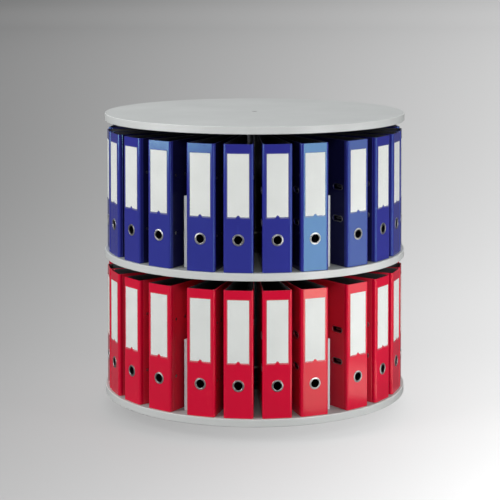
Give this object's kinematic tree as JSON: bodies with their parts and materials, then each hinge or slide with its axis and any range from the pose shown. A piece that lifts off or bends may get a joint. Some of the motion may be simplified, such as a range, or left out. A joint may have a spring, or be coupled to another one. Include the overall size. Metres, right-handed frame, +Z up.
{
  "type": "rotary file carousel",
  "caption": "Round two-level turning carousel with lever arch files standing spine outwards between dividers.",
  "frame": {"origin": "on the floor, on the axis of the column", "axes": "+Z up along the column; -Y points out through the middle of the front sliding files; +X to the right, seen from the front"},
  "size_m": [0.8, 0.8, 0.785],
  "materials": {
    "melamine_board": "chipboard faced with light grey melamine, fine satin texture",
    "divider_board": "thin board faced with light grey melamine",
    "edge_band": "light grey ABS edge band, satin",
    "painted_steel": "dark grey powder coat",
    "column_chrome": "bright chromed tube",
    "zinc_steel": "bright zinc-plated steel",
    "dark_screw": "dark countersunk screw head",
    "bearing_steel": "turned steel, lightly oiled",
    "ball_steel": "polished bearing ball",
    "cage_brass": "stamped brass",
    "bush_plastic": "natural acetal",
    "rubber_pad": "matt black rubber",
    "blue_file_cover": "grey board covered in violet-blue polypropylene, semi-gloss with a fine grain",
    "red_file_cover": "grey board covered in red polypropylene, semi-gloss with a fine grain",
    "label_card": "off-white card in a clear pocket",
    "nickel_steel": "nickel-plated steel"
  },
  "bodies": {
    "stand": {"foot_pads": "rubber_pad", "base_plate": "melamine_board", "base_screws": "zinc_steel", "column_flange": "painted_steel", "column_tube": "column_chrome", "flange_bolts": "zinc_steel", "lower_bearing_bottom_ring": "bearing_steel", "support_collar": "painted_steel", "collar_bolt": "zinc_steel", "upper_bearing_bottom_ring": "bearing_steel", "collar_ring_screws": "zinc_steel", "top_flange": "painted_steel", "top_flange_screws": "zinc_steel", "top_board": "melamine_board", "top_edge_band": "edge_band", "centre_screw": "dark_screw"},
    "lower_cage": {"lower_bearing_cage": "cage_brass", "lower_bearing_balls": "ball_steel"},
    "upper_cage": {"upper_bearing_cage": "cage_brass", "upper_bearing_balls": "ball_steel"},
    "lower_tier": {"bottom_shelf": "melamine_board", "bottom_edge_band": "edge_band", "lower_bearing_top_ring": "bearing_steel", "lower_hub": "painted_steel", "lower_bush": "bush_plastic", "lower_dividers": "divider_board", "bottom_shelf_screws": "zinc_steel", "red_files_bay_1": "red_file_cover", "red_files_bay_2": "red_file_cover", "red_files_bay_3": "red_file_cover", "red_files_bay_4": "red_file_cover", "red_files_bay_5": "red_file_cover", "red_files_bay_6": "red_file_cover", "red_labels": "label_card", "red_fittings": "nickel_steel", "red_lever_arches": "nickel_steel"},
    "upper_tier": {"middle_shelf": "melamine_board", "middle_edge_band": "edge_band", "upper_bearing_top_ring": "bearing_steel", "upper_hub": "painted_steel", "upper_bush": "bush_plastic", "upper_dividers": "divider_board", "middle_shelf_screws": "zinc_steel", "blue_files_bay_1": "blue_file_cover", "blue_files_bay_2": "blue_file_cover", "blue_files_bay_3": "blue_file_cover", "blue_files_bay_4": "blue_file_cover", "blue_files_bay_5": "blue_file_cover", "blue_files_bay_6": "blue_file_cover", "blue_labels": "label_card", "blue_fittings": "nickel_steel", "blue_lever_arches": "nickel_steel"},
    "red_pull_file": {"red_sliding_file": "red_file_cover", "red_sliding_label": "label_card", "red_sliding_fittings": "nickel_steel", "red_sliding_lever_arch": "nickel_steel"},
    "blue_pull_file": {"blue_sliding_file": "blue_file_cover", "blue_sliding_label": "label_card", "blue_sliding_fittings": "nickel_steel", "blue_sliding_lever_arch": "nickel_steel"}
  },
  "joints": [
    {"name": "lower_tier_spin", "type": "hinge", "parent": "stand", "child": "lower_tier", "pos_m": [0, 0, 0.061], "axis": [0, 0, 1], "continuous": true},
    {"name": "upper_tier_spin", "type": "hinge", "parent": "stand", "child": "upper_tier", "pos_m": [0, 0, 0.423], "axis": [0, 0, 1], "continuous": true},
    {"name": "lower_cage_spin", "type": "hinge", "parent": "stand", "child": "lower_cage", "pos_m": [0, 0, 0.0355], "axis": [0, 0, 1], "continuous": true},
    {"name": "upper_cage_spin", "type": "hinge", "parent": "stand", "child": "upper_cage", "pos_m": [0, 0, 0.3975], "axis": [0, 0, 1], "continuous": true},
    {"name": "red_file_pull", "type": "slide", "parent": "lower_tier", "child": "red_pull_file", "axis": [0, -1, 0], "range_m": [0, 0.13]},
    {"name": "blue_file_pull", "type": "slide", "parent": "upper_tier", "child": "blue_pull_file", "axis": [0, -1, 0], "range_m": [0, 0.13]}
  ],
  "couplings": [
    {"joint": "lower_cage_spin", "follows": "lower_tier_spin", "ratio": 0.5},
    {"joint": "upper_cage_spin", "follows": "upper_tier_spin", "ratio": 0.5}
  ]
}
